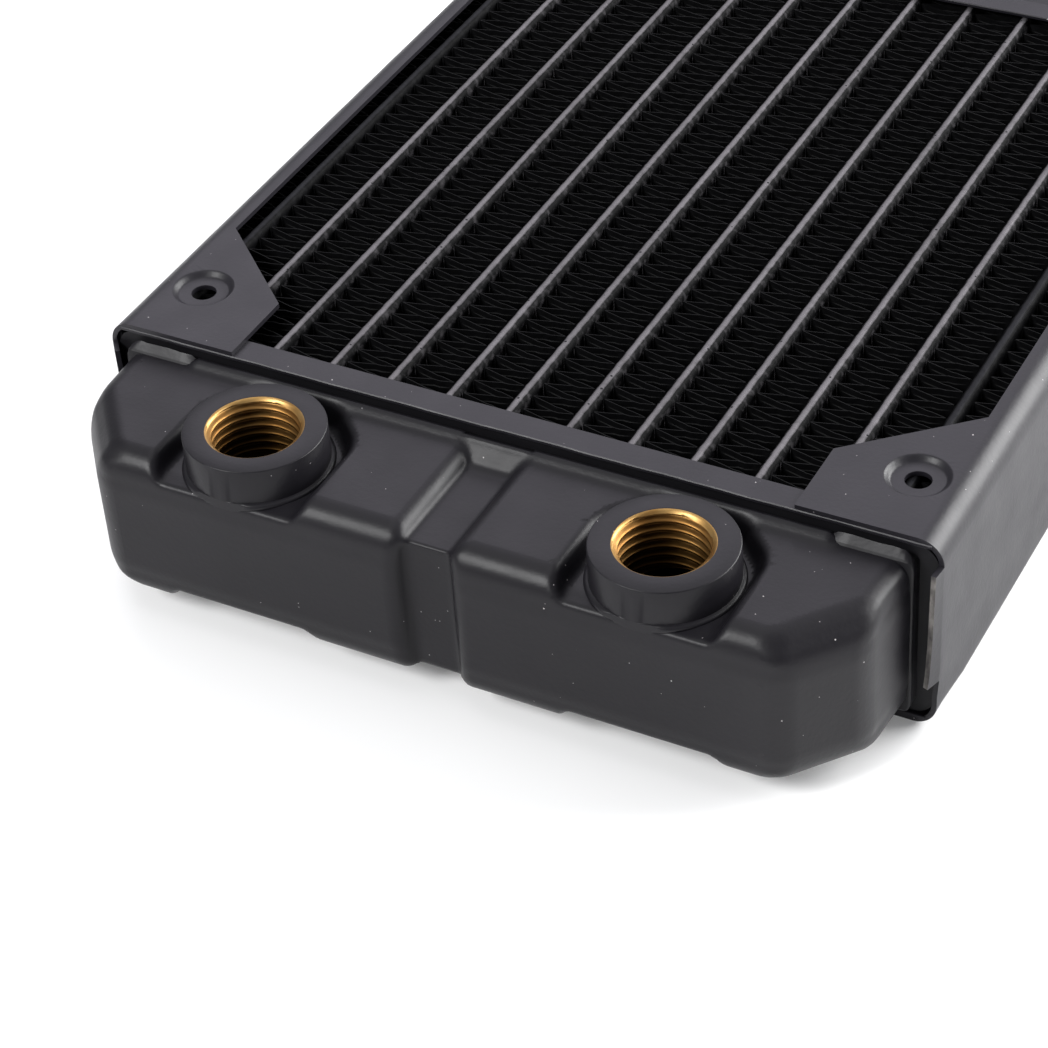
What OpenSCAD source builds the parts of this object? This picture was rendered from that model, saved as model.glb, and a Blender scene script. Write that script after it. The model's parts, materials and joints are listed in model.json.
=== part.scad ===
// Liquid cooling radiator for one 120 mm fan: a brazed tube and fin core between
// two pressed tanks, held in two folded side channels.
// X runs across the core, Y along it with the ports at -Y, and Z up.
// The origin is the centre of the underside.

/* [Frame] */
// Overall width across the side channels
frame_w = 121; // [120.5:0.1:122]
// Overall thickness from lower flange to upper flange
frame_h = 30; // [29.6:0.1:30.6]
// Sheet thickness of the side channels
sheet_t = 0.7; // [0.6:0.05:0.75]
// Outside radius of the channel bends
bend_r = 3.5; // [2.5:0.25:4.5]
// Width of the channel flange over the core
flange_w = 4.3; // [4:0.1:5]

/* [Fan mounting] */
// Spacing of the fan screw holes, both ways
hole_pitch = 105; // [104.6:0.1:105.4]
// Diameter of the fan screw holes
hole_d = 3.5; // [3.2:0.1:4]
// Radius of the pressed dimple round each screw hole
dimple_r = 4.2; // [3.8:0.1:4.4]
// Depth of the pressed dimple
dimple_depth = 0.8; // [0.6:0.05:0.85]
// Length of the flanges beyond the screw holes
flange_end = 11.4; // [10.4:0.2:12]
// Distance from the centre line to the gusset's inner edge
gusset_x = 40.8; // [40:0.2:42]
// Length of the gusset's inner edge
gusset_side = 12.2; // [10:0.2:13]
// Rise of the gusset's sloping edge
gusset_slope = 13.6; // [10:0.2:15]

/* [Core] */
// Number of flat tubes
tube_n = 13; // [11:1:13]
// Spacing of the flat tubes
tube_pitch = 8.84; // [8.7:0.02:8.9]
// Width of a flat tube across the core
tube_w = 2; // [1.8:0.1:2.2]
// Wall of a flat tube
tube_wall = 0.25; // [0.2:0.05:0.4]
// Gap between a flat tube and the face of the frame
tube_gap = 1.6; // [1.6:0.1:2.2]
// Sideways offset of the core in the frame
core_shift = -1.7; // [-1.8:0.1:0]
// Length of one fin fold, crest to crest
fin_pitch = 3; // [2.5:0.25:4]
// Thickness of the fin strip
fin_t = 0.15; // [0.1:0.05:0.4]
// Gap between a fin and the face of the frame
fin_gap = 2.3; // [2.2:0.1:3]

/* [Tanks] */
// Distance from the front screw holes to the front of the front tank
front_reach = 33.8; // [33.6:0.1:36]
// Distance from the rear screw holes to the back of the rear tank
rear_reach = 23.2; // [22:0.2:30]
// Wall of the pressed tanks
tank_wall = 1; // [0.8:0.1:1.2]
// Gap between a tank's broad face and the face of the frame
tank_gap = 3; // [2.8:0.1:3.4]
// Half width of a tank's end face
tank_end_x = 48.6; // [46:0.2:50]
// Half width of a tank where the chamfered corner meets the side
tank_corner_x = 56.1; // [55:0.1:56.4]
// Half width of a tank at its mouth
tank_mouth_x = 56.7; // [56.5:0.1:57.4]
// Length of a tank's chamfered corner along Y
tank_corner_y = 9.2; // [8:0.2:10]
// Width of the rolled edge between a tank's broad face and its end face
tank_roll = 3; // [2:0.25:3.5]
// Depth of the pressed pocket round each port
pocket_depth = 2.8; // [2.4:0.1:3]
// Depth of the pressed groove on the tank's centre line
groove_depth = 1.9; // [1.5:0.1:2.2]
// Half width of the groove's floor
groove_floor_x = 3.1; // [2.6:0.1:3.4]
// Half width of the groove's mouth
groove_mouth_x = 4.3; // [4:0.1:5]

/* [Ports] */
// Distance from the centre line to each port
port_x = 29.25; // [28:0.25:30]
// Distance from the front screw holes to the ports
port_y = 24.3; // [24.2:0.05:24.5]
// Outside radius of a port bush
bush_r = 9.5; // [9:0.1:9.6]
// Radius of the port bore at the thread crests
bore_r = 5.72; // [5.7:0.01:5.8]
// Radius of the bevel at the mouth of the port
mouth_r = 6.4; // [6.2:0.05:6.9]
// Length of a port bush
bush_len = 9.2; // [8.6:0.1:10]

/* [Headers] */
// Sheet thickness of a header pan
header_t = 0.8; // [0.6:0.1:1]
// Distance from the screw holes to the back of a header pan
header_y = 10.6; // [10.4:0.1:11]
// Depth of a header pan's rim
header_rim = 2.5; // [2.2:0.1:2.8]
// Gap between a header pan's rim and the face of the frame
header_gap = 1.4; // [1.4:0.05:1.8]
// Sheet thickness of the cross strips
strip_t = 0.6; // [0.5:0.05:0.65]
// Distance from the screw holes to the outer edge of a cross strip
strip_outer = 11.5; // [11:0.1:12]
// Width of a cross strip
strip_w = 4.1; // [3.5:0.1:5]

/* [Hidden] */
$fn = 96;
eps = 0.01;
half_w = frame_w / 2;
web_x = half_w - sheet_t;
overall_l = front_reach + hole_pitch + rear_reach;
front_row = -overall_l / 2 + front_reach;
rear_row = front_row + hole_pitch;
channel_l = hole_pitch + 2 * flange_end;
flange_x = half_w - flange_w;

// Tabs that carry each web on past the flanges
tab_l = 2.2;
tab_z = [8, 26.5];

// Radius of the flat floor inside a dimple
dimple_foot = dimple_r - 1.2;

// Side sheets that close the core against the webs
core_side_t = 0.5;
core_side_x = web_x - core_side_t;

// The header pan and the tank mouth that stands in its rim
pan_x = web_x - 0.1;
pan_corner = 3;
pan_floor = header_y + header_t;
mouth_y = header_y + header_rim;
mouth_gap = tank_gap + 0.1;
mouth_corner = 5.2;
lip_t = 0.8;
rim_notch_x = 46;

// Pockets round the ports
pocket_in = 17.5;
pocket_out = 40.8;
pocket_back = 12.9;
pocket_cut = 5;
groove_end = 15.2;

// Flow: a divider stands between the middle flat tube and the next one
divider_x = 1.4;
divider_t = 1;
tube_end = header_y + header_t / 2;

// Solder spigot under a bush
spigot_r = 7.6;
bush_base = tank_gap + pocket_depth;

function tube_x(i) = core_shift + (i - (tube_n + 1) / 2) * tube_pitch;

// Fin i fills the space between tube i and tube i + 1, or a side sheet at each end
function fin_left(i) = i == 0 ? -core_side_x : tube_x(i) + tube_w / 2;
function fin_right(i) = i == tube_n ? core_side_x : tube_x(i + 1) - tube_w / 2;

// Corner between two edges with inward unit normals n1 and n2, moved in by d
function inset(v, n1, n2, d) = v + d * (n1 + n2) / (1 + n1 * n2);
function unit(v) = v / norm(v);
function inward(a, b) = unit([a.y - b.y, b.x - a.x]);

// Places what is drawn for the front end, with its screw holes on y = 0
module at_end(rear = false) {
    if (rear)
        translate([0, rear_row, 0]) mirror([0, 1, 0]) children();
    else
        translate([0, front_row, 0]) children();
}

// Repeats what is drawn at the top face on the bottom face
module both_faces() {
    children();
    translate([0, 0, frame_h]) mirror([0, 0, 1]) children();
}

module both_sides() {
    children();
    mirror([1, 0, 0]) children();
}

// ---- Side channels ----

// Section of the channel from its flange edges to its web, moved in by d
module c_block(d) {
    intersection() {
        translate([flange_x - d, d]) square([half_w - flange_x, frame_h - 2 * d]);
        union() {
            translate([0, d]) square([half_w - bend_r, frame_h - 2 * d]);
            translate([0, bend_r]) square([half_w - d, frame_h - 2 * bend_r]);
            for (z = [bend_r, frame_h - bend_r])
                translate([half_w - bend_r, z]) circle(bend_r - d);
        }
    }
}

module gusset_outline() {
    polygon([
        [gusset_x, -flange_end],
        [gusset_x, gusset_side - flange_end],
        [flange_x, gusset_side - flange_end + gusset_slope],
        [half_w - bend_r, gusset_side - flange_end + gusset_slope],
        [half_w - bend_r, -flange_end]]);
}

// Underside of the dimple pressed round a fan screw hole
module dimple_cup() {
    rotate_extrude()
        polygon([
            [0, frame_h - dimple_depth - sheet_t],
            [dimple_foot, frame_h - dimple_depth - sheet_t],
            [dimple_r, frame_h - sheet_t],
            [dimple_r, frame_h - sheet_t / 2],
            [0, frame_h - sheet_t / 2]]);
}

// Hollow of the dimple, with the screw hole through its floor
module dimple_cut() {
    rise = 1;
    rotate_extrude()
        polygon([
            [0, frame_h - dimple_depth],
            [dimple_foot, frame_h - dimple_depth],
            [dimple_r + rise * (dimple_r - dimple_foot) / dimple_depth, frame_h + rise],
            [0, frame_h + rise]]);
    translate([0, 0, frame_h - 4]) cylinder(d = hole_d, h = 4);
}

module gusset() {
    translate([0, 0, frame_h - sheet_t]) linear_extrude(sheet_t) gusset_outline();
}

module web_tab() {
    translate([web_x, -flange_end - tab_l, tab_z[0]])
        cube([sheet_t, tab_l + 1, tab_z[1] - tab_z[0]]);
}

// Places a shape on the axis of each fan screw hole, on both faces
module at_fan_holes() {
    for (y = [front_row, rear_row])
        translate([hole_pitch / 2, y, 0]) both_faces() children();
}

module side_channel() {
    difference() {
        union() {
            translate([0, rear_row + flange_end, 0])
                rotate([90, 0, 0])
                    linear_extrude(channel_l)
                        difference() {
                            c_block(0);
                            c_block(sheet_t);
                        }
            for (rear = [false, true])
                at_end(rear) {
                    both_faces() gusset();
                    web_tab();
                }
            at_fan_holes() dimple_cup();
        }
        at_fan_holes() dimple_cut();
    }
}

module side_channel_right() {
    color([0.2, 0.2, 0.22]) side_channel();
}

module side_channel_left() {
    color([0.2, 0.2, 0.22]) mirror([1, 0, 0]) side_channel();
}

// ---- Core ----

module core_side() {
    translate([core_side_x, front_row - header_y, fin_gap])
        cube([core_side_t, hole_pitch + 2 * header_y, frame_h - 2 * fin_gap]);
}

module core_side_right() {
    color([0.15, 0.15, 0.16]) core_side();
}

module core_side_left() {
    color([0.15, 0.15, 0.16]) mirror([1, 0, 0]) core_side();
}

module flat_oval(d) {
    r = tube_w / 2 - d;
    low = tube_gap + tube_w / 2;
    high = frame_h - low;
    translate([-r, low]) square([2 * r, high - low]);
    for (z = [low, high]) translate([0, z]) circle(r);
}

module tube(i) {
    color([0.62, 0.6, 0.64])
        translate([tube_x(i), rear_row + tube_end, 0])
            rotate([90, 0, 0])
                linear_extrude(hole_pitch + 2 * tube_end)
                    difference() {
                        flat_oval(0);
                        flat_oval(tube_wall);
                    }
}

// Outline of a folded strip between x = left and x = right. The crests are flat where
// they meet a tube, and each fold's inside corner stands one notch short of its crest.
function fin_outline(left, right, folds) =
    let (
        y = [for (k = [0:folds]) (k - folds / 2) * fin_pitch / 2 - fin_t / 2],
        notch = fin_t * (right - left) / fin_pitch,
        near_side = [for (k = [1:folds - 1]) each k % 2 == 0
            ? [[left, y[k]], [left, y[k] + fin_t]]
            : [[right - notch, y[k] + fin_t / 2]]],
        far_side = [for (k = [folds - 1:-1:1]) each k % 2 == 1
            ? [[right, y[k] + fin_t], [right, y[k]]]
            : [[left + notch, y[k] + fin_t / 2]]])
    concat(
        [[left, y[0] + fin_t]], near_side,
        [[left, y[folds]], [left, y[folds] + fin_t]], far_side,
        [[left, y[0]]]);

module fin(i) {
    run = hole_pitch + 2 * header_y - fin_t;
    folds = floor(run / fin_pitch) * 2;
    color([0.08, 0.08, 0.09])
        translate([0, front_row + hole_pitch / 2, fin_gap])
            linear_extrude(frame_h - 2 * fin_gap)
                polygon(fin_outline(fin_left(i), fin_right(i), folds));
}

// ---- Headers and cross strips ----

module pan_block(x, gap, y0, y1, r) {
    for (z = [gap + r, frame_h - gap - r], side = [-1, 1])
        translate([side * (x - r), -y0, z])
            rotate([90, 0, 0]) cylinder(r = r, h = y1 - y0);
    translate([-x, -y1, gap + r]) cube([2 * x, y1 - y0, frame_h - 2 * (gap + r)]);
    translate([-x + r, -y1, gap]) cube([2 * (x - r), y1 - y0, frame_h - 2 * gap]);
}

// Takes the rim down to the tank's broad face: a bevel at the corners, a notch between them
module rim_relief() {
    rise = 1;
    translate([-half_w, 0, 0])
        rotate([90, 0, 90])
            linear_extrude(frame_w)
                polygon([
                    [-pan_floor, frame_h - header_gap],
                    [-mouth_y, frame_h - tank_gap],
                    [-mouth_y - rise, frame_h - tank_gap],
                    [-mouth_y - rise, frame_h - header_gap + rise],
                    [-pan_floor, frame_h - header_gap + rise]]);
    translate([-rim_notch_x, -mouth_y - rise, frame_h - tank_gap + 0.3])
        cube([2 * rim_notch_x, mouth_y + rise - pan_floor, tank_gap]);
}

// Slot for a flat tube: full height as far as the tube's end, then only as high as the tank's mouth
module tube_slot() {
    linear_extrude(tube_end - header_y + 1) flat_oval(0);
    linear_extrude(header_t + 2)
        intersection() {
            flat_oval(0);
            translate([-tube_w, mouth_gap]) square([2 * tube_w, frame_h - 2 * mouth_gap]);
        }
}

module header_pan() {
    difference() {
        pan_block(pan_x, header_gap, header_y, mouth_y, pan_corner);
        pan_block(tank_mouth_x, mouth_gap, pan_floor, mouth_y + 1, mouth_corner);
        for (i = [1:tube_n])
            translate([tube_x(i), -header_y + 1, 0]) rotate([90, 0, 0]) tube_slot();
        both_faces() rim_relief();
    }
}

module front_header() {
    color([0.12, 0.12, 0.13]) at_end() header_pan();
}

module rear_header() {
    color([0.12, 0.12, 0.13]) at_end(true) header_pan();
}

module top_strip() {
    translate([-web_x + 1, -strip_outer, frame_h - sheet_t - strip_t])
        cube([2 * (web_x - 1), strip_w, strip_t]);
}

module bottom_strip() {
    translate([0, 0, frame_h]) mirror([0, 0, 1]) top_strip();
}

module front_top_strip() {
    color([0.25, 0.25, 0.27]) at_end() top_strip();
}

module front_bottom_strip() {
    color([0.25, 0.25, 0.27]) at_end() bottom_strip();
}

module rear_top_strip() {
    color([0.25, 0.25, 0.27]) at_end(true) top_strip();
}

module rear_bottom_strip() {
    color([0.25, 0.25, 0.27]) at_end(true) bottom_strip();
}

// ---- Tanks ----

// Right half of a tank's plan, from its end face to its mouth, moved in by d
function half_plan(reach, d) =
    let (
        a = [0, -reach],
        b = [tank_end_x, -reach],
        c = [tank_corner_x, -reach + min(tank_corner_y, reach - mouth_y - 1.5)],
        e = [tank_mouth_x, -mouth_y],
        n1 = inward(a, b),
        n2 = inward(b, c),
        n3 = inward(c, e))
    [inset(b, n1, n2, d), inset(c, n2, n3, d), e + [-d / -n3.x, 0]];

module tank_plan(reach, d) {
    right = half_plan(reach, d);
    left = [for (k = [len(right) - 1:-1:0]) [-right[k].x, right[k].y]];
    polygon(concat(right, left));
}

// A tank's pressed form, moved in by d all over
module tank_form(reach, d) {
    waist = tank_gap + tank_roll;
    hull() {
        translate([0, 0, waist]) linear_extrude(frame_h - 2 * waist) tank_plan(reach, d);
        translate([0, 0, tank_gap + d])
            linear_extrude(frame_h - 2 * (tank_gap + d)) tank_plan(reach, d + tank_roll);
    }
}

// The pocket round each port and the groove between them, grown by d
module reliefs(d) {
    both_faces() {
        both_sides()
            translate([0, 0, frame_h - bush_base - d]) linear_extrude(bush_base) pocket_plan(d);
        translate([0, -groove_end + d, frame_h - tank_gap])
            rotate([90, 0, 0]) linear_extrude(front_reach) groove_profile(d);
    }
    translate([0, -front_reach, 0]) linear_extrude(frame_h) groove_plan(d);
}

// Plan of a pocket: straight sides, and corners cut off beside the tank's mouth
module pocket_plan(d) {
    corner = d * tan(22.5);
    side_end = -pocket_back - pocket_cut + corner;
    polygon([
        [pocket_in - d, -front_reach - 1],
        [pocket_in - d, side_end],
        [pocket_in + pocket_cut - corner, -pocket_back + d],
        [pocket_out - pocket_cut + corner, -pocket_back + d],
        [pocket_out + d, side_end],
        [pocket_out + d, -front_reach - 1]]);
}

module groove_profile(d) {
    polygon([
        [-groove_mouth_x - d, eps],
        [-groove_floor_x - d, -groove_depth - d],
        [groove_floor_x + d, -groove_depth - d],
        [groove_mouth_x + d, eps]]);
}

module groove_plan(d) {
    mirror([0, 1]) groove_profile(d);
}

module tank_shell(reach, pressed) {
    difference() {
        union() {
            difference() {
                tank_form(reach, 0);
                if (pressed) reliefs(0);
            }
            pan_block(tank_mouth_x, mouth_gap, pan_floor, mouth_y + lip_t, mouth_corner);
        }
        tank_cavity(reach, pressed);
    }
}

module tank_cavity(reach, pressed) {
    difference() {
        tank_form(reach, tank_wall);
        if (pressed) reliefs(tank_wall);
    }
    pan_block(tank_mouth_x - lip_t, mouth_gap + lip_t, pan_floor - 1, mouth_y + 0.3, mouth_corner - lip_t);
}

module front_tank() {
    color([0.2, 0.2, 0.22])
        at_end()
            difference() {
                tank_shell(front_reach, true);
                both_sides() {
                    translate([port_x, -port_y, frame_h / 2]) cylinder(r = spigot_r, h = frame_h);
                    translate([port_x, -port_y, frame_h - bush_base]) cylinder(r = bush_r, h = frame_h);
                }
            }
}

module rear_tank() {
    color([0.2, 0.2, 0.22]) at_end(true) tank_shell(rear_reach, false);
}

module tank_divider() {
    color([0.55, 0.55, 0.57])
        at_end()
            intersection() {
                tank_cavity(front_reach, true);
                translate([divider_x, -front_reach, 0])
                    cube([divider_t, front_reach - pan_floor, frame_h]);
            }
}

// ---- Ports ----

module port_bush() {
    translate([port_x, -port_y, 0])
        rotate_extrude()
            polygon([
                [bore_r, frame_h - bush_len],
                [spigot_r, frame_h - bush_len],
                [spigot_r, frame_h - bush_base],
                [bush_r, frame_h - bush_base],
                [bush_r, frame_h],
                [mouth_r, frame_h],
                [bore_r, frame_h - (mouth_r - bore_r)]]);
}

module port_bush_right() {
    color([0.72, 0.6, 0.4]) at_end() port_bush();
}

module port_bush_left() {
    color([0.72, 0.6, 0.4]) at_end() mirror([1, 0, 0]) port_bush();
}

front_tank();
rear_tank();
tank_divider();
port_bush_left();
port_bush_right();
front_header();
rear_header();
side_channel_left();
side_channel_right();
core_side_left();
core_side_right();
front_top_strip();
front_bottom_strip();
rear_top_strip();
rear_bottom_strip();
for (i = [1:tube_n]) tube(i);
for (i = [0:tube_n]) fin(i);
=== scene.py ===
import json
import math

import bmesh
import bpy
import numpy as np
from mathutils import Matrix, Vector
from mathutils.geometry import delaunay_2d_cdt


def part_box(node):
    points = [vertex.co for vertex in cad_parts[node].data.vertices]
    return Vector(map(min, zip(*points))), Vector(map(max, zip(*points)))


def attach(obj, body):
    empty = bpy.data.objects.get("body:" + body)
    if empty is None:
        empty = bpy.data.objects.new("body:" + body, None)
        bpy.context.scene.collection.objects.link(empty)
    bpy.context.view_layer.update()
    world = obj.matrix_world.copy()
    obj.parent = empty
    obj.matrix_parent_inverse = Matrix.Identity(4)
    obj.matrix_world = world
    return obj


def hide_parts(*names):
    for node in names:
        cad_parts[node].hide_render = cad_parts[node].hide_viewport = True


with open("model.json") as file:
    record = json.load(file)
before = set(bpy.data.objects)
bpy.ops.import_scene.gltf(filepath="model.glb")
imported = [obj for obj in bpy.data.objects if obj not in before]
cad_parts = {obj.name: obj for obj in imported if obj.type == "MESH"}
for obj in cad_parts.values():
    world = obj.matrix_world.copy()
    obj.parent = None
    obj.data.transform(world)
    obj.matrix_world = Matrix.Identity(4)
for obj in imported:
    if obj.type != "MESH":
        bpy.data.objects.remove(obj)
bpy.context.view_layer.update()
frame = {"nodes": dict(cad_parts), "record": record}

# Shapes are worked out in millimetres in the row frame and scaled to metres once.
MM = 0.001
RNG_SEED = 7


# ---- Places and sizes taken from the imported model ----

def box_mm(node):
    low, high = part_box(node)
    return np.array(low) / MM, np.array(high) / MM


mounts = {m["name"]: m for m in frame["record"]["mounts"]}
fan = mounts["fan_holes_top"]
hole_r = fan["dims"]["hole_r_mm"]
hole_x = fan["dims"]["spacing_x_mm"] / 2
front_row = fan["pos_m"][1] / MM - fan["dims"]["spacing_y_mm"] / 2
rear_row = fan["pos_m"][1] / MM + fan["dims"]["spacing_y_mm"] / 2
port_x = mounts["port_right"]["pos_m"][0] / MM
port_o = front_row - mounts["port_right"]["pos_m"][1] / MM
bore_r = mounts["port_right"]["dims"]["r_mm"]

half_w = box_mm("side_channel_right")[1][0]
frame_h = box_mm("side_channel_right")[1][2]
mid_z = frame_h / 2
dimple_depth = frame_h - fan["pos_m"][2] / MM
bush_low, bush_high = box_mm("port_bush_right")
bush_r = (bush_high[0] - bush_low[0]) / 2
front_reach = front_row - box_mm("front_tank")[0][1]
rear_reach = box_mm("rear_tank")[1][1] - rear_row
tube_names = [n for n in sorted(frame["nodes"], key=lambda n: (len(n), n)) if n.startswith("tube_")]
fin_names = [n for n in sorted(frame["nodes"], key=lambda n: (len(n), n)) if n.startswith("fin_")]


# ---- Meshes ----

def add_piece(name, verts, faces, materials, replaces, smooth_deg=35.0, face_material=None):
    """A mesh from vertices in millimetres. It rides on the one body and stands for its CAD nodes."""
    mesh = bpy.data.meshes.new(name)
    mesh.from_pydata((np.asarray(verts, float) * MM).tolist(), [], faces)
    piece = bpy.data.objects.new(name, mesh)
    bpy.context.scene.collection.objects.link(piece)
    for material in materials:
        mesh.materials.append(material)
    if face_material is not None:
        mesh.polygons.foreach_set("material_index", face_material)
    finish_piece(piece, replaces, smooth_deg)
    return piece


def finish_piece(piece, replaces, smooth_deg):
    mesh = piece.data
    mesh.validate()
    mesh.shade_smooth()
    if smooth_deg is not None:
        mark_sharp(mesh, smooth_deg)
    mesh.update()
    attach(piece, "root")
    if replaces:
        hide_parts(*replaces)


def mark_sharp(mesh, degrees):
    bm = bmesh.new()
    bm.from_mesh(mesh)
    limit = math.radians(degrees)
    for edge in bm.edges:
        edge.smooth = edge.is_manifold and edge.calc_face_angle(0.0) < limit
    bm.to_mesh(mesh)
    bm.free()


def bake_modifiers(piece):
    """Keeps a piece's shape with its modifiers applied."""
    depsgraph = bpy.context.evaluated_depsgraph_get()
    mesh = bpy.data.meshes.new_from_object(piece.evaluated_get(depsgraph))
    piece.modifiers.clear()
    piece.data = mesh


# ---- Rounded solids as distance fields ----

def both(a, b, r):
    """Where a and b overlap, with their shared edge rounded to radius r."""
    inner = np.minimum(np.maximum(a, b), -r)
    return inner + np.hypot(np.maximum(a + r, 0), np.maximum(b + r, 0))


def either(a, b, r):
    """a and b joined, with a fillet of radius r where they meet."""
    return np.maximum(np.minimum(a, b), r) - np.hypot(np.maximum(r - a, 0), np.maximum(r - b, 0))


def carve(a, b, r):
    return both(a, -b, r)


def smooth_step(t):
    t = np.clip(t, 0, 1)
    return t * t * (3 - 2 * t)


def surface_net(field, low, high, step):
    """Vertices and quads on the zero level of field(points), a point in each cell that it crosses."""
    axes = [np.arange(a - step, b + 2 * step, step) for a, b in zip(low, high)]
    grid = np.stack(np.meshgrid(*axes, indexing="ij"), -1)
    shape = grid.shape[:3]
    inside = field(grid.reshape(-1, 3)).reshape(shape) < 0
    count = sum(
        inside[i:shape[0] - 1 + i, j:shape[1] - 1 + j, k:shape[2] - 1 + k].astype(np.int8)
        for i in (0, 1) for j in (0, 1) for k in (0, 1))
    crossed = (count > 0) & (count < 8)
    number = np.full(crossed.shape, -1)
    number[crossed] = np.arange(crossed.sum())
    points = grid[:-1, :-1, :-1][crossed] + step / 2
    points = settle(field, points, step)
    faces = []
    for axis in range(3):
        u, v = [a for a in range(3) if a != axis]
        ends = [slice(0, n) for n in shape]
        ends[u], ends[v] = slice(1, shape[u] - 1), slice(1, shape[v] - 1)
        first, second = list(ends), list(ends)
        first[axis], second[axis] = slice(0, shape[axis] - 1), slice(1, shape[axis])
        a, b = inside[tuple(first)], inside[tuple(second)]
        at = np.argwhere(a != b)
        at[:, u] += 1
        at[:, v] += 1
        flip = a[a != b] ^ (axis == 1)
        quad = []
        for du, dv in ((-1, -1), (0, -1), (0, 0), (-1, 0)):
            cell = at.copy()
            cell[:, u] += du
            cell[:, v] += dv
            quad.append(number[cell[:, 0], cell[:, 1], cell[:, 2]])
        quad = np.stack(quad, 1)
        faces.append(np.where(flip[:, None], quad, quad[:, ::-1]))
    faces = np.concatenate(faces)
    return points, faces[(faces >= 0).all(1)].tolist()


def settle(field, points, step):
    """Moves points onto the zero level along the field's slope."""
    h = step * 0.1
    start = points.copy()
    for _ in range(5):
        slope = np.stack([
            field(points + h * axis) - field(points - h * axis) for axis in np.eye(3)], -1) / (2 * h)
        steep = np.maximum((slope ** 2).sum(-1), 0.2)
        points = points - (field(points) / steep)[:, None] * slope
        points = start + np.clip(points - start, -step, step)
    return points


# ---- Materials ----

class Graph:
    """Short calls for building a shader's node tree."""

    def __init__(self, name):
        self.material = bpy.data.materials.new(name)
        self.material.use_nodes = True
        self.tree = self.material.node_tree
        self.shader = self.tree.nodes["Principled BSDF"]
        self.place = self.add("ShaderNodeTexCoord").outputs["Object"]

    def add(self, kind, **values):
        node = self.tree.nodes.new(kind)
        for key, value in values.items():
            if hasattr(node, key):
                setattr(node, key, value)
            else:
                node.inputs[key.replace("_", " ")].default_value = value
        return node

    def link(self, output, node, socket):
        self.tree.links.new(output, node.inputs[socket])

    def noise(self, scale, detail=3.0, stretch=(1, 1, 1), roughness=0.5):
        place = self.add("ShaderNodeMapping", Scale=stretch)
        self.link(self.place, place, "Vector")
        node = self.add("ShaderNodeTexNoise", Scale=scale, Detail=detail, Roughness=roughness)
        self.link(place.outputs["Vector"], node, "Vector")
        return node.outputs["Fac"]

    def ramp(self, value, stops):
        node = self.add("ShaderNodeValToRGB")
        elements = node.color_ramp.elements
        while len(elements) < len(stops):
            elements.new(0.5)
        for element, (position, color) in zip(elements, stops):
            element.position = position
            element.color = (*color, 1) if len(color) == 3 else color
        self.link(value, node, "Fac")
        return node.outputs["Color"]

    def span(self, value, low, high):
        node = self.add("ShaderNodeMapRange")
        node.inputs["To Min"].default_value = low
        node.inputs["To Max"].default_value = high
        self.link(value, node, "Value")
        return node.outputs["Result"]

    def mix(self, factor, a, b):
        node = self.add("ShaderNodeMix", data_type="RGBA")
        for value, socket in ((factor, 0), (a, 6), (b, 7)):
            if hasattr(value, "default_value"):
                self.tree.links.new(value, node.inputs[socket])
            elif socket == 0:
                node.inputs[socket].default_value = value
            else:
                node.inputs[socket].default_value = (*value, 1)
        return node.outputs[2]

    def dots(self, scale, size, share):
        """Small round spots on a share of the cells of a scattered grid."""
        cells = self.add("ShaderNodeTexVoronoi", Scale=scale)
        self.link(self.place, cells, "Vector")
        near = self.add("ShaderNodeMath", operation="LESS_THAN")
        self.link(cells.outputs["Distance"], near, 0)
        near.inputs[1].default_value = size
        parts = self.add("ShaderNodeSeparateColor")
        self.link(cells.outputs["Color"], parts, "Color")
        some = self.add("ShaderNodeMath", operation="LESS_THAN")
        self.link(parts.outputs["Red"], some, 0)
        some.inputs[1].default_value = share
        hit = self.add("ShaderNodeMath", operation="MULTIPLY")
        self.link(near.outputs[0], hit, 0)
        self.link(some.outputs[0], hit, 1)
        return hit.outputs[0]

    def beyond_z(self, middle, start, end):
        """0 within start of the height middle, above and below it, rising to 1 at end."""
        parts = self.add("ShaderNodeSeparateXYZ")
        self.link(self.place, parts, "Vector")
        above = self.add("ShaderNodeMath", operation="SUBTRACT")
        self.link(parts.outputs["Z"], above, 0)
        above.inputs[1].default_value = middle
        away = self.add("ShaderNodeMath", operation="ABSOLUTE")
        self.link(above.outputs[0], away, 0)
        node = self.add("ShaderNodeMapRange")
        node.inputs["From Min"].default_value = start
        node.inputs["From Max"].default_value = end
        self.link(away.outputs[0], node, "Value")
        return node.outputs["Result"]

    def bump(self, height, strength, distance):
        node = self.add("ShaderNodeBump", Strength=strength, Distance=distance)
        self.link(height, node, "Height")
        self.link(node.outputs["Normal"], self.shader, "Normal")

    def set(self, **values):
        for key, value in values.items():
            self.shader.inputs[key.replace("_", " ")].default_value = value


def black_paint(name, color, roughness, shine, dust):
    """Satin powder paint: fine orange peel, soft tonal drift, a little pale dust."""
    g = Graph(name)
    drift = g.noise(55, 4)
    grain = g.noise(2600, 2)
    base = g.ramp(drift, [(0.3, [c * 0.88 for c in color]), (0.7, [c * 1.1 for c in color])])
    base = g.mix(g.span(grain, 0.0, 0.35), base, [c * 1.5 for c in color])
    base = g.mix(g.dots(1500, 0.11, dust), base, (0.3, 0.28, 0.29))
    base = g.mix(g.dots(700, 0.07, dust), base, (0.4, 0.38, 0.38))
    g.link(base, g.shader, "Base Color")
    g.link(g.span(g.noise(160, 5), roughness - 0.07, roughness + 0.08), g.shader, "Roughness")
    g.set(Specular_IOR_Level=shine)
    g.bump(g.noise(1500, 3), 0.12, 0.0002)
    return g.material


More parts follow.
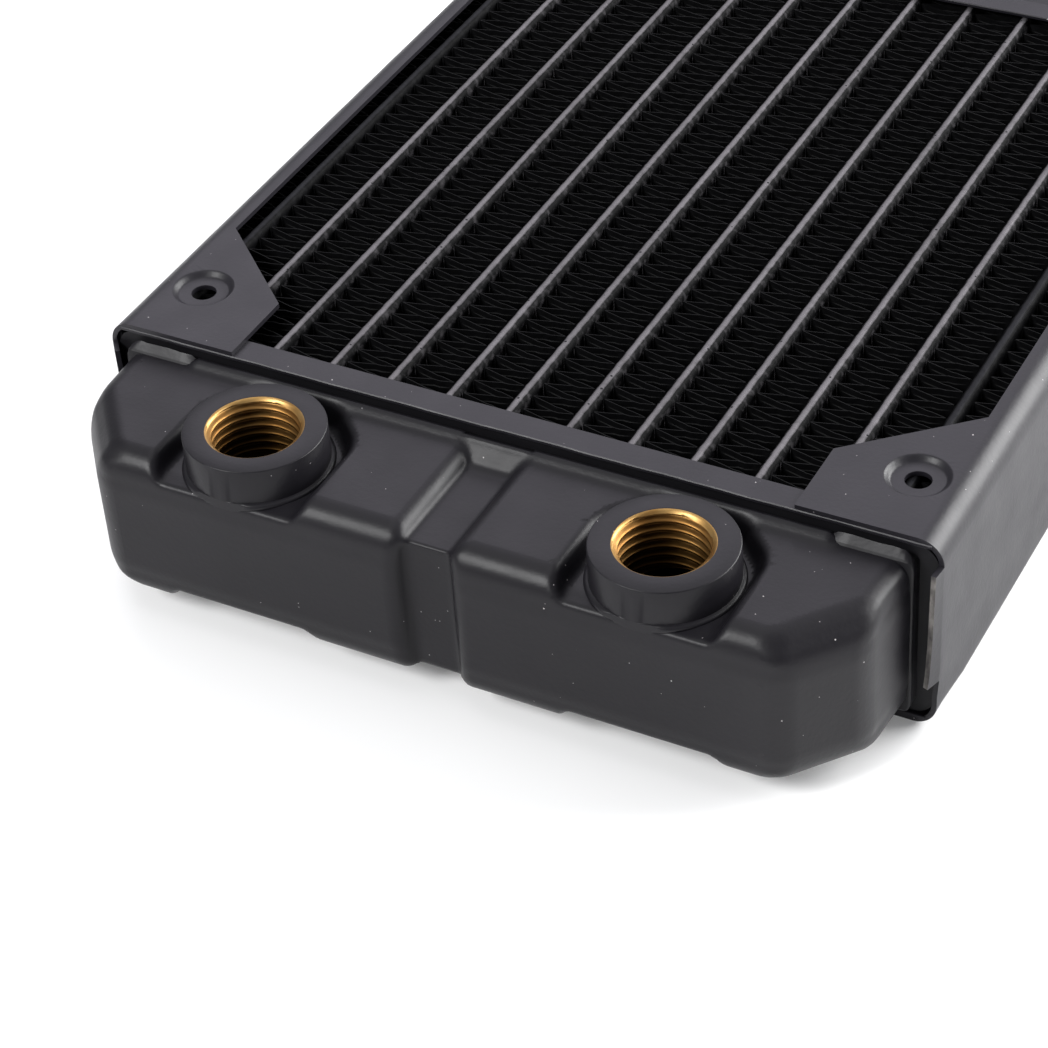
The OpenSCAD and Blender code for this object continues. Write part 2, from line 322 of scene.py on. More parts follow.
def tube_metal(name, color, crest_z):
    """Dull tinned metal along each tube's crest, near-black on the flanks below it, with a ragged edge
    between.
    """
    g = Graph(name)
    streak = g.noise(400, 4, (1, 0.12, 1))
    base = g.ramp(streak, [(0.3, [c * 0.72 for c in color]), (0.7, color)])
    base = g.mix(g.dots(1100, 0.2, 0.1), base, (0.02, 0.02, 0.022))
    crest = g.beyond_z(mid_z * MM, (crest_z - mid_z - 0.19) * MM, (crest_z - mid_z - 0.03) * MM)
    ragged = g.add("ShaderNodeMath", operation="MULTIPLY_ADD")
    g.link(g.noise(900, 2), ragged, 0)
    ragged.inputs[1].default_value = 0.9
    ragged.inputs[2].default_value = -0.45
    shown = g.add("ShaderNodeMath", operation="ADD", use_clamp=True)
    g.link(crest, shown, 0)
    g.link(ragged.outputs[0], shown, 1)
    g.link(g.mix(shown.outputs[0], (0.0015, 0.0015, 0.0018), base), g.shader, "Base Color")
    g.link(g.span(g.noise(700, 4), 0.5, 0.7), g.shader, "Roughness")
    g.link(g.span(shown.outputs[0], 0.0, 0.4), g.shader, "Metallic")
    g.set(Specular_IOR_Level=0.04)
    g.bump(g.noise(1200, 3), 0.25, 0.0002)
    return g.material


def fin_paint(name):
    g = Graph(name)
    base = g.ramp(g.noise(500, 4), [(0.3, (0.0006, 0.0006, 0.0008)), (0.75, (0.0018, 0.0018, 0.0023))])
    g.link(base, g.shader, "Base Color")
    g.link(g.span(g.noise(900, 3), 0.5, 0.75), g.shader, "Roughness")
    g.set(Specular_IOR_Level=0.12)
    g.bump(g.noise(1800, 3), 0.3, 0.0002)
    return g.material


def port_brass(name):
    """Turned brass: rings of tool marks round the bore, slightly stained, with painted shade that darkens
    it toward black down the bore, lightest at the mouth.
    """
    g = Graph(name)
    stain = g.noise(260, 5)
    base = g.ramp(stain, [(0.25, (0.4, 0.22, 0.07)), (0.55, (0.56, 0.35, 0.13)), (0.8, (0.66, 0.46, 0.2))])
    # Painted shade: the brass is multiplied darker with depth below the mouth, near black deep in the bore.
    toward_mouth = g.beyond_z(mid_z * MM, (frame_h - mid_z - 6.0) * MM, (frame_h - mid_z - 0.5) * MM)
    bore_shade = g.ramp(toward_mouth, [(0.0, (0.06, 0.05, 0.04)), (0.9, (0.46, 0.38, 0.31)), (1.0, (0.72, 0.7, 0.68))])
    shaded_brass = g.add("ShaderNodeMix", data_type="RGBA", blend_type="MULTIPLY")
    shaded_brass.inputs[0].default_value = 1.0
    g.link(base, shaded_brass, 6)
    g.link(bore_shade, shaded_brass, 7)
    g.link(shaded_brass.outputs[2], g.shader, "Base Color")
    g.link(g.span(g.noise(900, 4, (1, 1, 6)), 0.34, 0.5), g.shader, "Roughness")
    g.set(Metallic=1.0)
    g.bump(g.noise(700, 3, (0.4, 0.4, 8)), 0.15, 0.0001)
    return g.material


def sheet_metal(name):
    g = Graph(name)
    base = g.ramp(g.noise(120, 5), [(0.3, (0.4, 0.3, 0.16)), (0.7, (0.6, 0.47, 0.28))])
    g.link(base, g.shader, "Base Color")
    g.link(g.span(g.noise(300, 4), 0.35, 0.55), g.shader, "Roughness")
    g.set(Metallic=1.0)
    g.bump(g.noise(600, 3), 0.2, 0.0002)
    return g.material


def edge_grey_metal(name):
    """Patchy metallic grey, from dark to light, for a sheared sheet edge."""
    g = Graph(name)
    patchy = g.ramp(g.noise(700, 4, (1, 1, 0.5)), [(0.3, (0.08, 0.075, 0.075)), (0.6, (0.36, 0.34, 0.32))])
    g.link(patchy, g.shader, "Base Color")
    g.link(g.span(g.noise(500, 3), 0.35, 0.55), g.shader, "Roughness")
    g.set(Metallic=0.8)
    return g.material


TANK_PAINT = black_paint("tank_paint", (0.0076, 0.0070, 0.0090), 0.4, 0.23, 0.03)
FRAME_PAINT = black_paint("frame_paint", (0.0115, 0.0106, 0.0138), 0.4, 0.29, 0.035)
# A darker copy of the black paint for the header pans: painted shade for their recess behind the tanks.
HEADER_SHADE_PAINT = black_paint("header_paint_shaded", (0.0065, 0.0062, 0.0075), 0.5, 0.22, 0.006)
TUBE_TOP = box_mm("tube_1")[1][2]
TUBE_METAL = tube_metal("tube_metal", (0.15, 0.142, 0.152), TUBE_TOP)
# A darker copy of the tube metal, given to the two outermost tubes.
TUBE_DARK = tube_metal("tube_metal_darker", (0.02, 0.02, 0.023), TUBE_TOP)
FIN_PAINT = fin_paint("fin_paint")
PORT_BRASS = port_brass("port_brass")
DIVIDER_METAL = sheet_metal("divider_metal")
FRONT_EDGE_GREY = edge_grey_metal("front_edge_grey")


# ---- Tanks ----

TANK_GAP = frame_h - 27.0
TANK = {
    "half_h": mid_z - TANK_GAP,
    "end_x": 48.6, "corner_x": 56.1, "mouth_x": 56.7,
    "corner_o": 9.2, "wall": 1.5,
}
ROLL = {"front": 2.3, "corner": 3.0, "side": 1.5}
POCKET_ROLL = {"front": 1.6, "corner": 1.6, "side": 1.5}
POCKET = {"x": 29.2, "half": 10.15, "depth": 2.8, "draft": 0.52, "cut_o": 6.9, "back_o": 13.0}
GROOVE = {"half": 3.15, "depth": 1.9, "slope": 0.65, "end": 15.2}
SPIGOT_R = 7.6
MOUTH_O = 13.1
TAIL_O = 11.9
NOTCH_X = 46.0
PLAN_ROUND = {"corner": 1.6, "side": 1.0}
EDGE_ROUND = {"corner": 1.2, "side": 0.8}
TANK_STEP = 0.5
JOIN_R = 0.8
# How far a fillet of radius JOIN_R lifts two faces that lie on each other.
JOIN_LIFT = JOIN_R * (1 - 1 / math.sqrt(2))


def plan_edge(x, o, p, q):
    """Distance outside the line from p to q, both points (x, o) of a tank's plan."""
    along = np.array(q, float) - p
    along /= np.hypot(*along)
    return (x - p[0]) * -along[1] + (o - p[1]) * along[0]


def tank_body(x, o, z, reach, half_h, roll):
    """A tank's pressed form without its reliefs."""
    corner_o = max(reach - TANK["corner_o"], MOUTH_O + 1.5)
    front = o - reach
    corner = plan_edge(x, o, (TANK["end_x"], reach), (TANK["corner_x"], corner_o))
    side = plan_edge(x, o, (TANK["corner_x"], corner_o), (TANK["mouth_x"], MOUTH_O))
    plan = both(both(front, corner, PLAN_ROUND["corner"]), side, PLAN_ROUND["side"])
    top = z - half_h
    edges = [(flat + top + roll[key]) / math.sqrt(2)
             for key, flat in (("front", front), ("corner", corner), ("side", side))]
    rolled = both(both(edges[0], edges[1], EDGE_ROUND["corner"]), edges[2], EDGE_ROUND["side"])
    return both(both(plan, rolled, 1.0), top, 1.0)


def lip_field(x, o, z):
    """The low bead that the tank's mouth turns up between the rim's corners."""
    slab = both(np.abs(o - 12.2) - 0.35, z - TANK["half_h"] - 0.75, 0.3)
    return both(slab, x - NOTCH_X, 0.3)


def tank_form(x, o, z, reach, pressed):
    """A whole tank; the pressed one has its pockets and groove, set back so that it meets reach."""
    if pressed:
        reach -= JOIN_LIFT
    body = tank_body(x, o, z, reach, TANK["half_h"], ROLL)
    if pressed:
        low = TANK["half_h"] - POCKET["depth"]
        drop = POCKET["draft"] * (POCKET["depth"] - np.maximum(z - low, 0))
        across = np.abs(x - POCKET["x"])
        wall = across - POCKET["half"] - POCKET["draft"] * POCKET["depth"] + drop
        cut = (across - o + POCKET["cut_o"]) / math.sqrt(2) + drop
        pit = both(both(wall, cut, 1.5), POCKET["back_o"] - o + drop, 1.0)
        body = carve(body, both(pit, low - z, 0.8), 0.8)
        body = either(body, tank_body(x, o, z, reach, low, POCKET_ROLL), JOIN_R)
        low = TANK["half_h"] - GROOVE["depth"]
        floor_o = reach - GROOVE["depth"]
        rise = np.maximum(z - low, o - floor_o)
        wall = (x - GROOVE["half"] - GROOVE["slope"] * rise) / math.hypot(1, GROOVE["slope"])
        end = (GROOVE["end"] - rise - o) / math.sqrt(2)
        body = carve(body, both(both(wall, end, 0.6), -rise, 0.5), 1.1)
    return either(body, lip_field(x, o, z), 2.2)


def tank_field(reach, side, row, pressed):
    """Field of a pressed shell; side is -1 for the front end and 1 for the rear end."""
    def field(p):
        x = np.abs(p[:, 0])
        o = side * (p[:, 1] - row)
        z = np.abs(p[:, 2] - mid_z)
        form = tank_form(x, o, z, reach, pressed)
        shell = np.maximum(form, -(form + TANK["wall"]))
        shell = np.maximum(shell, TAIL_O - o)
        if not pressed:
            return shell
        across = np.hypot(x - port_x, o - port_o)
        upper = p[:, 2] - mid_z
        floor = TANK["half_h"] - POCKET["depth"]
        shell = np.maximum(shell, -np.maximum(across - SPIGOT_R, -upper))
        return np.maximum(shell, -np.maximum(across - bush_r + 0.3, floor - upper))
    return field


def make_tank(name, reach, side, row, pressed):
    outer = row + side * reach
    inner = row + side * TAIL_O
    low = (-TANK["mouth_x"], min(outer, inner), TANK_GAP - 1)
    high = (TANK["mouth_x"], max(outer, inner), frame_h - TANK_GAP + 1)
    verts, faces = surface_net(tank_field(reach, side, row, pressed), low, high, TANK_STEP)
    return add_piece(name, verts, faces, [TANK_PAINT], [name], smooth_deg=None)


make_tank("front_tank", front_reach, -1, front_row, True)
make_tank("rear_tank", rear_reach, 1, rear_row, False)


# ---- Side channels ----

SHEET_T = 0.7
BEND_R = 3.5
BEND_X = half_w - BEND_R
FLANGE_X = half_w - 4.3
FLANGE_END = 11.4
GUSSET_END = 14.4
GUSSET = [(40.8, -FLANGE_END), (40.8, 0.8), (FLANGE_X, GUSSET_END)]
DIMPLE_FOOT = 3.35
DIMPLE_R = 4.4
DIMPLE_RINGS = (hole_r, hole_r + 0.15, 2.4, DIMPLE_FOOT, 3.5, 3.65, 3.8, 3.95, 4.1, 4.25, DIMPLE_R)
EDGE_BEVEL = 0.09
TAB_L = 2.2
WEB_Z = (25.0, 20.0, 15.0, 10.0, 8.0, 5.0)


def along_rows():
    """Y of the channel's rows of vertices, and how many of them belong to each end's tab."""
    ends = np.array([-FLANGE_END - TAB_L, -FLANGE_END - 1.2, -FLANGE_END - 0.3])
    front = np.arange(-FLANGE_END, 14.5, 1.0)
    half = np.concatenate([ends, front, [GUSSET_END]]) + front_row
    middle = np.linspace(half[-1], rear_row - GUSSET_END, 30)[1:-1]
    rear = rear_row + front_row - half[::-1]
    return np.concatenate([half, middle, rear]), len(ends)


def flange_plane(rows):
    """Vertices and triangles of a flange with its gussets and ringed screw holes, seen from above."""
    inner = [(x, front_row + o) for x, o in GUSSET]
    inner += [(x, rear_row + front_row - y) for x, y in inner[::-1]]
    outline = [(BEND_X, y) for y in rows] + inner[::-1]
    points, edges = list(outline), [(i, (i + 1) % len(outline)) for i in range(len(outline))]
    for row in (front_row, rear_row):
        for r in DIMPLE_RINGS:
            first, turns = len(points), 64
            for k in range(turns):
                angle = 2 * math.pi * k / turns
                points.append((hole_x + r * math.cos(angle), row + r * math.sin(angle)))
                edges.append((first + k, first + (k + 1) % turns))
    verts, _, faces, *_ = delaunay_2d_cdt([Vector(p) for p in points], edges, [], 1, 1e-6)
    verts = np.array([(v.x, v.y) for v in verts])
    kept = []
    for face in faces:
        middle = verts[list(face)].mean(0)
        if min(math.hypot(middle[0] - hole_x, middle[1] - row) for row in (front_row, rear_row)) > hole_r:
            kept.append(tuple(face))
    return verts, kept


def web_lean(x, y, z, fold):
    """How far the web leans inward: at the tabs, and where each tab's lower end was pressed."""
    o = max(front_row - y, y - rear_row)
    tab = max(o - FLANGE_END, 0) / TAB_L * (fold + 0.35 * (26.5 - z) / 18.5)
    press = min(max(0.67 * (o - 6.2) - 0.74 * (z - 5.6), 0), 4) * 0.09
    return (tab + press) * min((x - BEND_X) / BEND_R, 1)


def dimple_drop(x, y):
    """Depth of the pressed ring round the nearest screw hole."""
    across = np.minimum(np.hypot(x - hole_x, y - front_row), np.hypot(x - hole_x, y - rear_row))
    return dimple_depth * (1 - smooth_step((across - DIMPLE_FOOT) / (DIMPLE_R - DIMPLE_FOOT)))


def channel_shape(fold):
    """Outer surface of the right side channel: two flanges, two bends and the web with its tabs."""
    rows, tabs = along_rows()
    flange_rows = rows[tabs:-tabs]
    plane, flange_faces = flange_plane(flange_rows)
    z = frame_h - dimple_drop(plane[:, 0], plane[:, 1])
    verts = [(x, y, up) for (x, y), up in zip(plane, z)]
    faces = [tuple(f) for f in flange_faces]
    count = len(verts)
    verts += [(x, y, frame_h - up) for x, y, up in verts]
    faces += [tuple(i + count for i in reversed(f)) for f in faces]
    bend = [math.pi / 2 * k / 8 for k in range(9)]
    section = [(BEND_X + BEND_R * math.sin(a), frame_h - BEND_R + BEND_R * math.cos(a)) for a in bend]
    section += [(half_w, up) for up in WEB_Z]
    section += [(x, frame_h - up) for x, up in section[8::-1]]
    base = len(verts)
    width = len(section)
    for y in rows:
        verts += [(x - web_lean(x, y, up, fold), y, up) for x, up in section]
    for i in range(len(rows) - 1):
        for j in range(width - 1):
            in_tab = i < tabs or i >= len(rows) - 1 - tabs
            if in_tab and not 8 <= j <= 12:
                continue
            a = base + i * width + j
            faces.append((a, a + 1, a + width + 1, a + width))
    return verts, faces


def make_channel(name, mirrored, fold, material, front_edge=None):
    """A side channel of folded sheet; front_edge is the material of its sheared front tab edge."""
    verts, faces = channel_shape(fold)
    mesh = bpy.data.meshes.new(name)
    side = -1 if mirrored else 1
    mesh.from_pydata([(side * x * MM, y * MM, z * MM) for x, y, z in verts], [], faces)
    bm = bmesh.new()
    bm.from_mesh(mesh)
    bmesh.ops.remove_doubles(bm, verts=bm.verts, dist=0.01 * MM)
    loose = [v for v in bm.verts if not v.link_faces]
    bmesh.ops.delete(bm, geom=loose, context="VERTS")
    bmesh.ops.recalc_face_normals(bm, faces=bm.faces)
    bm.faces.ensure_lookup_table()
    web = max(bm.faces, key=lambda f: side * f.calc_center_median().x)
    if web.normal.x * side < 0:
        bmesh.ops.reverse_faces(bm, faces=bm.faces)
    bm.to_mesh(mesh)
    bm.free()
    mesh.materials.append(material)
    piece = bpy.data.objects.new(name, mesh)
    bpy.context.scene.collection.objects.link(piece)
    solid = piece.modifiers.new("thickness", "SOLIDIFY")
    solid.thickness = SHEET_T * MM
    solid.offset = -1
    solid.use_even_offset = True
    soften_edges(piece, EDGE_BEVEL)
    if front_edge:
        paint_front_edge(piece, front_edge)
    finish_piece(piece, [name], None)
    return piece


def paint_front_edge(piece, material):
    """Gives material to the faces that look forward and lie within reach of the foremost point."""
    reach, facing = 0.4 * MM, -0.75
    piece.data.materials.append(material)
    front = min(v.co.y for v in piece.data.vertices)
    for face in piece.data.polygons:
        face.material_index = int(face.center.y < front + reach and face.normal.y < facing)


def soften_edges(piece, width, angle=40):
    bevel = piece.modifiers.new("edges", "BEVEL")
    bevel.width = width * MM
    bevel.segments = 2
    bevel.limit_method = "ANGLE"
    bevel.angle_limit = math.radians(angle)
    piece.data.shade_smooth()
    even = piece.modifiers.new("normals", "WEIGHTED_NORMAL")
    even.weight = 100
    bake_modifiers(piece)


make_channel("side_channel_right", False, 0.2, FRAME_PAINT, FRONT_EDGE_GREY)
make_channel("side_channel_left", True, 1.8, FRAME_PAINT)


# ---- Lofted pieces: header pans, cross strips and flat tubes ----

def loft(loops):
    """Vertices and faces through a list of loops with equal counts, closed with a cap at both ends."""
    count = len(loops[0])
    verts = [tuple(p) for loop in loops for p in loop]
    faces = []
    for i in range(len(loops) - 1):
        for j in range(count):
            k = (j + 1) % count
            faces.append((i * count + j, i * count + k, (i + 1) * count + k, (i + 1) * count + j))
    faces.append(tuple(range(count))[::-1])
    faces.append(tuple((len(loops) - 1) * count + j for j in range(count)))
    return verts, faces


def face_outward(verts, faces):
    """The same faces, turned so that they all look outward."""
    bm = bmesh.new()
    made = [bm.verts.new(v) for v in verts]
    for face in faces:
        bm.faces.new([made[i] for i in face])
    bmesh.ops.recalc_face_normals(bm, faces=bm.faces)
    bm.verts.index_update()
    turned = [tuple(v.index for v in f.verts) for f in bm.faces]
    bm.free()
    return turned


def rounded_rect(half_x, half_z, r, steps=6, edge=60):
    """Points (x, z) round a rectangle with rounded corners, close together along its long edges."""
    corners = []
    for turn, (sx, sz) in enumerate(((1, 1), (-1, 1), (-1, -1), (1, -1))):
        corners.append([(
            sx * (half_x - r) + r * math.cos(math.pi / 2 * (turn + k / steps)),
            sz * (half_z - r) + r * math.sin(math.pi / 2 * (turn + k / steps))) for k in range(steps + 1)])
    across = np.linspace(1, -1, edge + 1)[1:-1] * (half_x - r)
    top = [(x, half_z) for x in across]
    low = [(-x, -half_z) for x in across]
    return corners[0] + top + corners[1] + corners[2] + low + corners[3]


PAN_X = box_mm("front_header")[1][0]
PAN_Z = box_mm("front_header")[1][2] - mid_z
PAN_BACK = 10.6
PAN_FACE = 11.0
RIM_X = TANK["mouth_x"] + 0.5
RIDGE_O = 12.05


def rim_height(x, o):
    """Half height of the pan: a ridge with a lit front slope at the corners, low between them."""
    if o <= PAN_FACE:
        return PAN_Z
    low = TANK["half_h"] - 0.15
    if o < RIDGE_O:
        return low
    fall = (o - RIDGE_O) / (MOUTH_O - RIDGE_O)
    lumps = 0.09 * math.sin(x * 1.9) * math.sin(x * 0.7 + 2) * (1 - fall)
    corner = float(smooth_step((abs(x) - NOTCH_X + 1.2) / 2.2))
    return low + (0.15 + 1.25 * (1 - fall) + lumps) * corner


def make_pan(name, side, row):
    """The shallow pan that the tubes pass through: its rim stands round the tank's mouth."""
    stations = [(PAN_X - 0.3, PAN_BACK), (PAN_X, PAN_BACK + 0.1), (PAN_X, PAN_FACE)]
    stations += [(RIM_X, o) for o in (PAN_FACE + 0.02, 11.95, RIDGE_O, 12.15, 12.5, 12.85)]
    stations += [(RIM_X - 0.1, MOUTH_O - 0.05), (RIM_X - 0.3, MOUTH_O)]
    loops = []
    for half_x, o in stations:
        loop = []
        for x, z in rounded_rect(half_x, PAN_Z, 3.0):
            height = min(abs(z), rim_height(x, o))
            loop.append((x, row + side * o, mid_z + math.copysign(height, z)))
        loops.append(loop)
    for o in (MOUTH_O, PAN_FACE + 0.4):
        loop = rounded_rect(TANK["mouth_x"] - 0.1, TANK["half_h"] - 0.2, 5.2)
        loops.append([(x, row + side * o, mid_z + z) for x, z in loop])
    verts, faces = loft(loops)
    count = len(loops[0])
    # Rim faces take the tank paint; all other pan faces take the darker header paint, painted shade for the
    # recess.
    rim = [int(4 * count <= i < 8 * count) for i in range(len(faces))]
    return add_piece(
        name, verts, face_outward(verts, faces), [HEADER_SHADE_PAINT, TANK_PAINT], [name], 50, rim)


make_pan("front_header", -1, front_row)
make_pan("rear_header", 1, rear_row)


def make_strip(name):
    """A narrow sheet strip across the core, very slightly wavy as cut from sheet."""
    low, high = box_mm(name)
    edge = 0.12
    section = [
        (low[1] + edge, low[2]), (high[1] - edge, low[2]), (high[1], low[2] + edge),
        (high[1], high[2] - edge), (high[1] - edge, high[2]), (low[1] + edge, high[2]),
        (low[1], high[2] - edge), (low[1], low[2] + edge)]
    loops = []
    for x in np.linspace(low[0], high[0], 60):
        wave = 0.04 * math.sin(x * 0.31) + 0.03 * math.sin(x * 0.83 + 1)
        loops.append([(x, y + (wave if y < (low[1] + high[1]) / 2 else 0), z) for y, z in section])
    verts, faces = loft(loops)
    return add_piece(name, verts, face_outward(verts, faces), [FRAME_PAINT], [name])


for strip_name in ("front_top_strip", "front_bottom_strip", "rear_top_strip", "rear_bottom_strip"):
    make_strip(strip_name)


FIN_PITCH = 3.0


def make_tube(name, material, rng):
    """A flat tube on edge; each fin crest has drawn a little solder onto its flanks."""
    low, high = box_mm(name)
    centre = (low[0] + high[0]) / 2
    r = (high[0] - low[0]) / 2 - 0.02
    arc = [math.pi * k / 8 for k in range(9)]
    section = [(math.cos(a), high[2] - r + r * math.sin(a), 1) for a in arc]
    section += [(-1, mid_z, 0)]
    section += [(-math.cos(a), low[2] + r - r * math.sin(a), 1) for a in arc]
    section += [(1, mid_z, 0)]
    ys = np.arange(low[1], high[1], 0.75)
    beads = rng.uniform(0.4, 1.0, (2, len(ys) // 2 + 2))
    phase = rng.uniform(0, 1, 2)
    loops = []
    for y in list(ys) + [high[1]]:
        loop = []
        for across, z, wavy in section:
            flank = int(across > 0)
            turn = (y - low[1]) / FIN_PITCH + 0.5 * flank
            crest = max(0, math.cos(2 * math.pi * (turn % 1 - 0.5)))
            swell = beads[flank][int(turn) % beads.shape[1]] * crest
            narrow = 0.12 * wavy * (1 - swell)
            loop.append((centre + across * (r - narrow), y, z))
        loops.append(loop)
    verts, faces = loft(loops)
    return add_piece(name, verts, face_outward(verts, faces), [material], [name])


tube_rng = np.random.default_rng(RNG_SEED)
for tube_name in tube_names:
    outermost = tube_name in (tube_names[0], tube_names[-1])
    make_tube(tube_name, TUBE_DARK if outermost else TUBE_METAL, tube_rng)


# ---- Fins ----

def make_fin(name, rng):
    """A strip folded to and fro between two tubes, each leaf with a kink and a row of louvres."""
    low, high = box_mm(name)
    left, right = low[0] + 0.02, high[0] - 0.02
    width = right - left
    leaf_t = 0.12
    across = np.array([0.0, 0.07, 0.2, 0.34, 0.48, 0.56, 0.62, 0.7, 0.82, 0.93, 1.0])
    kink = np.array([0.0, 0.0, 0.02, 0.05, 0.1, 0.16, 0.07, -0.06, -0.03, 0.0, 0.0])
    depths = np.array([0.0, 0.9, 1.0, 2.4, 2.5])
    tilt = np.array([0.0, 0.0, -0.12, 0.12, 0.0])
    zs = np.concatenate([high[2] - depths, (low[2] + depths)[::-1]])
    tilts = np.concatenate([tilt, tilt[::-1]])
    folds = int((high[1] - low[1]) / FIN_PITCH) * 2
    mid_y = (low[1] + high[1]) / 2
    verts, faces = [], []
    slats = np.sin(np.pi * across) ** 0.5
    for k in range(folds):
        start = mid_y + (k - folds / 2) * FIN_PITCH / 2
        flip = k % 2
        drift = rng.normal(0, 0.05)
        size = rng.uniform(0.7, 1.3)
        t = across if not flip else 1 - across
        line = start + FIN_PITCH / 2 * t + size * kink * (1 if not flip else -0.6) + drift * slats
        base = len(verts)
        for z, lean in zip(zs, tilts):
            for u, y, slat in zip(across, line, slats):
                y = min(max(y + lean * slat, low[1] + leaf_t / 2), high[1] - leaf_t / 2)
                verts.append((left + width * u, y - leaf_t / 2, z))
                verts.append((left + width * u, y + leaf_t / 2, z))
        n, m = len(across), len(zs)
        for i in range(m - 1):
            for j in range(n - 1):
                a = base + 2 * (i * n + j)
                faces.append((a, a + 2, a + 2 * n + 2, a + 2 * n))
                faces.append((a + 1, a + 2 * n + 1, a + 2 * n + 3, a + 3))
            a, b = base + 2 * i * n, base + 2 * (i * n + n - 1)
            faces.append((a, a + 2 * n, a + 2 * n + 1, a + 1))
            faces.append((b, b + 1, b + 2 * n + 1, b + 2 * n))
        for j in range(n - 1):
            a, b = base + 2 * j, base + 2 * ((m - 1) * n + j)
            faces.append((a, a + 1, a + 3, a + 2))
            faces.append((b, b + 2, b + 3, b + 1))
    return add_piece(name, verts, faces, [FIN_PAINT], [name], smooth_deg=30)


fin_rng = np.random.default_rng(RNG_SEED + 1)
for fin_name in fin_names:
    make_fin(fin_name, fin_rng)


# ---- Port bushes ----

THREAD_PITCH = 1.337
THREAD_DEPTH = 0.82
MOUTH_R = bore_r + 0.68
BUSH_TURNS = 96
BEAD_R = 0.5


def bush_profile(steps):
    """Rows (height, radius, threaded) down the bore from the mouth."""
    cone = bush_high[2] - (MOUTH_R - bore_r)
    rows = [(bush_high[2] - 0.04, MOUTH_R + 0.05, 0)]
    rows += [(z, bore_r + (z - cone), 1) for z in np.linspace(bush_high[2] - 0.1, cone, 5)]
    rows += [(z, bore_r, 1) for z in np.linspace(cone, bush_low[2], steps)[1:]]
    return rows


def make_bush(name):
    """A threaded brass port, painted outside, with a bead of solder round its foot."""
    low, high = box_mm(name)
    centre = (low[0] + high[0]) / 2, (low[1] + high[1]) / 2
    base_z = frame_h - TANK_GAP - POCKET["depth"]
    turns = BUSH_TURNS
    inside = bush_profile(84)
    outside = [
        (low[2], SPIGOT_R - 0.1), (low[2] + 0.1, SPIGOT_R), (base_z - 2.0, SPIGOT_R),
        (base_z - 2.0, bush_r - 0.15)]
    for k in range(9):
        angle = math.pi * (k / 8 - 0.5)
        up, out = BEAD_R * math.sin(angle), BEAD_R * math.cos(angle)
        outside.append((base_z + 0.2 + up, bush_r + 0.12 + out))
    outside += [
        (base_z + 0.75, bush_r), (high[2] - 0.16, bush_r), (high[2] - 0.05, bush_r - 0.05),
        (high[2], bush_r - 0.16), (high[2], MOUTH_R + 0.35), (high[2] - 0.01, MOUTH_R + 0.12)]
    verts = []
    for z, r, threaded in inside:
        for k in range(turns):
            phase = (z / THREAD_PITCH - k / turns) % 1
            wave = 1 - abs(2 * phase - 1)
            cut = bore_r + THREAD_DEPTH * smooth_step((wave - 0.12) / 0.8) if threaded else 0
            radius = max(r, cut)
            angle = 2 * math.pi * k / turns
            verts.append((centre[0] + radius * math.cos(angle), centre[1] + radius * math.sin(angle), z))
    for z, r in outside:
        for k in range(turns):
            angle = 2 * math.pi * k / turns
            set_back = JOIN_LIFT if z < base_z + 0.7 else 0
            y = max(centre[1] + r * math.sin(angle), front_row - front_reach + set_back)
            verts.append((centre[0] + r * math.cos(angle), y, z))
    rings = len(inside) + len(outside)
    faces, painted = [], []
    for i in range(rings):
        j = (i + 1) % rings
        for k in range(turns):
            m = (k + 1) % turns
            faces.append((i * turns + k, i * turns + m, j * turns + m, j * turns + k))
            painted.append(int(len(inside) + 2 < i < rings - 1))
    return add_piece(name, verts, faces, [PORT_BRASS, TANK_PAINT], [name], 50, painted)


make_bush("port_bush_left")
make_bush("port_bush_right")

for name, material in (
        ("core_side_left", FRAME_PAINT), ("core_side_right", FRAME_PAINT), ("tank_divider", DIVIDER_METAL)):
    frame["nodes"][name].data.materials.clear()
    frame["nodes"][name].data.materials.append(material)


# ---- Studio ----

def add_floor():
    mesh = bpy.data.meshes.new("studio_floor")
    size = 4.0
    corners = [(-size, -size, 0), (size, -size, 0), (size, size, 0), (-size, size, 0)]
    mesh.from_pydata(corners, [], [(0, 1, 2, 3)])
    floor = bpy.data.objects.new("studio_floor", mesh)
    bpy.context.scene.collection.objects.link(floor)
    g = Graph("studio_floor")
    base = g.ramp(g.noise(3, 2), [(0.3, (0.82, 0.82, 0.82)), (0.7, (0.86, 0.86, 0.86))])
    g.link(base, g.shader, "Base Color")
    g.set(Roughness=0.9, Emission_Color=(1, 1, 1, 1), Emission_Strength=0.13)
    mesh.materials.append(g.material)


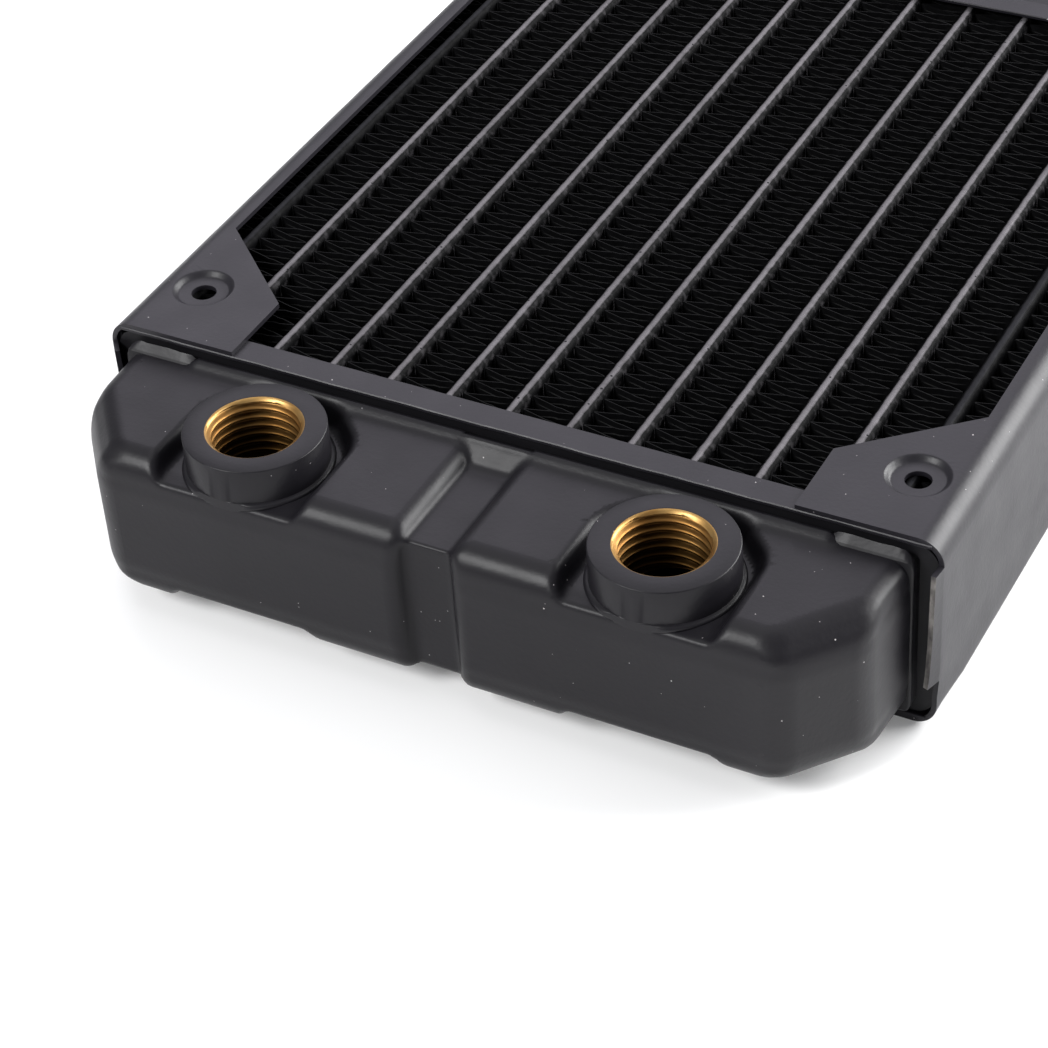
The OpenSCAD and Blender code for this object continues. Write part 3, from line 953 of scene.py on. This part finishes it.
def add_light(name, toward, distance, size, power, color=(1, 1, 1)):
    """An area light that stands in direction toward and shines on the object's front."""
    data = bpy.data.lights.new(name, "AREA")
    data.shape = "RECTANGLE"
    data.size, data.size_y = size
    data.energy = power
    data.color = color
    light = bpy.data.objects.new(name, data)
    direction = Vector(toward).normalized()
    light.location = Vector((0, front_row * MM, 0)) + direction * distance
    light.rotation_mode = "QUATERNION"
    light.rotation_quaternion = direction.to_track_quat("Z", "Y")
    bpy.context.scene.collection.objects.link(light)


def add_world(strength):
    world = bpy.data.worlds.new("studio")
    bpy.context.scene.world = world
    world.use_nodes = True
    background = world.node_tree.nodes["Background"]
    background.inputs["Color"].default_value = (0.95, 0.96, 1.0, 1)
    background.inputs["Strength"].default_value = strength


# Turn, height and roll in degrees, and the place from midway between the front screw holes.
VIEW_ANGLES = (30.385, 39.091, -4.415)
VIEW_PLACE = (155.634, -272.992, 230.745)


def add_camera():
    turn, height, roll = (math.radians(a) for a in VIEW_ANGLES)
    right = Vector((math.cos(turn), math.sin(turn), 0))
    back = Vector((math.sin(turn) * math.cos(height), -math.cos(turn) * math.cos(height), math.sin(height)))
    up = back.cross(right)
    rolled_right = math.cos(roll) * right + math.sin(roll) * up
    rolled_up = back.cross(rolled_right)
    data = bpy.data.cameras.new("camera")
    data.sensor_width = 36.0
    data.lens = 102.45
    data.clip_start = 0.02
    data.clip_end = 20.0
    camera = bpy.data.objects.new("camera", data)
    aside, back_off, above = VIEW_PLACE
    place = Vector((aside, front_row + back_off, frame_h + above)) * MM
    turned = Matrix((rolled_right, rolled_up, back)).transposed()
    camera.matrix_world = Matrix.Translation(place) @ turned.to_4x4()
    bpy.context.scene.collection.objects.link(camera)
    bpy.context.scene.camera = camera


add_floor()
add_world(0.33)
add_light("back_right", (0.63, 0.67, 0.42), 0.75, (0.7, 0.45), 13.5)
add_light("front_left", (-0.39, -0.63, 0.67), 1.1, (0.4, 0.35), 11)
add_light("back_left", (-0.39, 0.67, 0.63), 1.3, (1.0, 0.7), 4.6, (0.94, 0.9, 1.0))
add_light("zenith", (-0.2, 0.1, 1.0), 1.2, (0.8, 0.8), 2.5)
add_camera()
bpy.context.scene.view_settings.view_transform = "Standard"
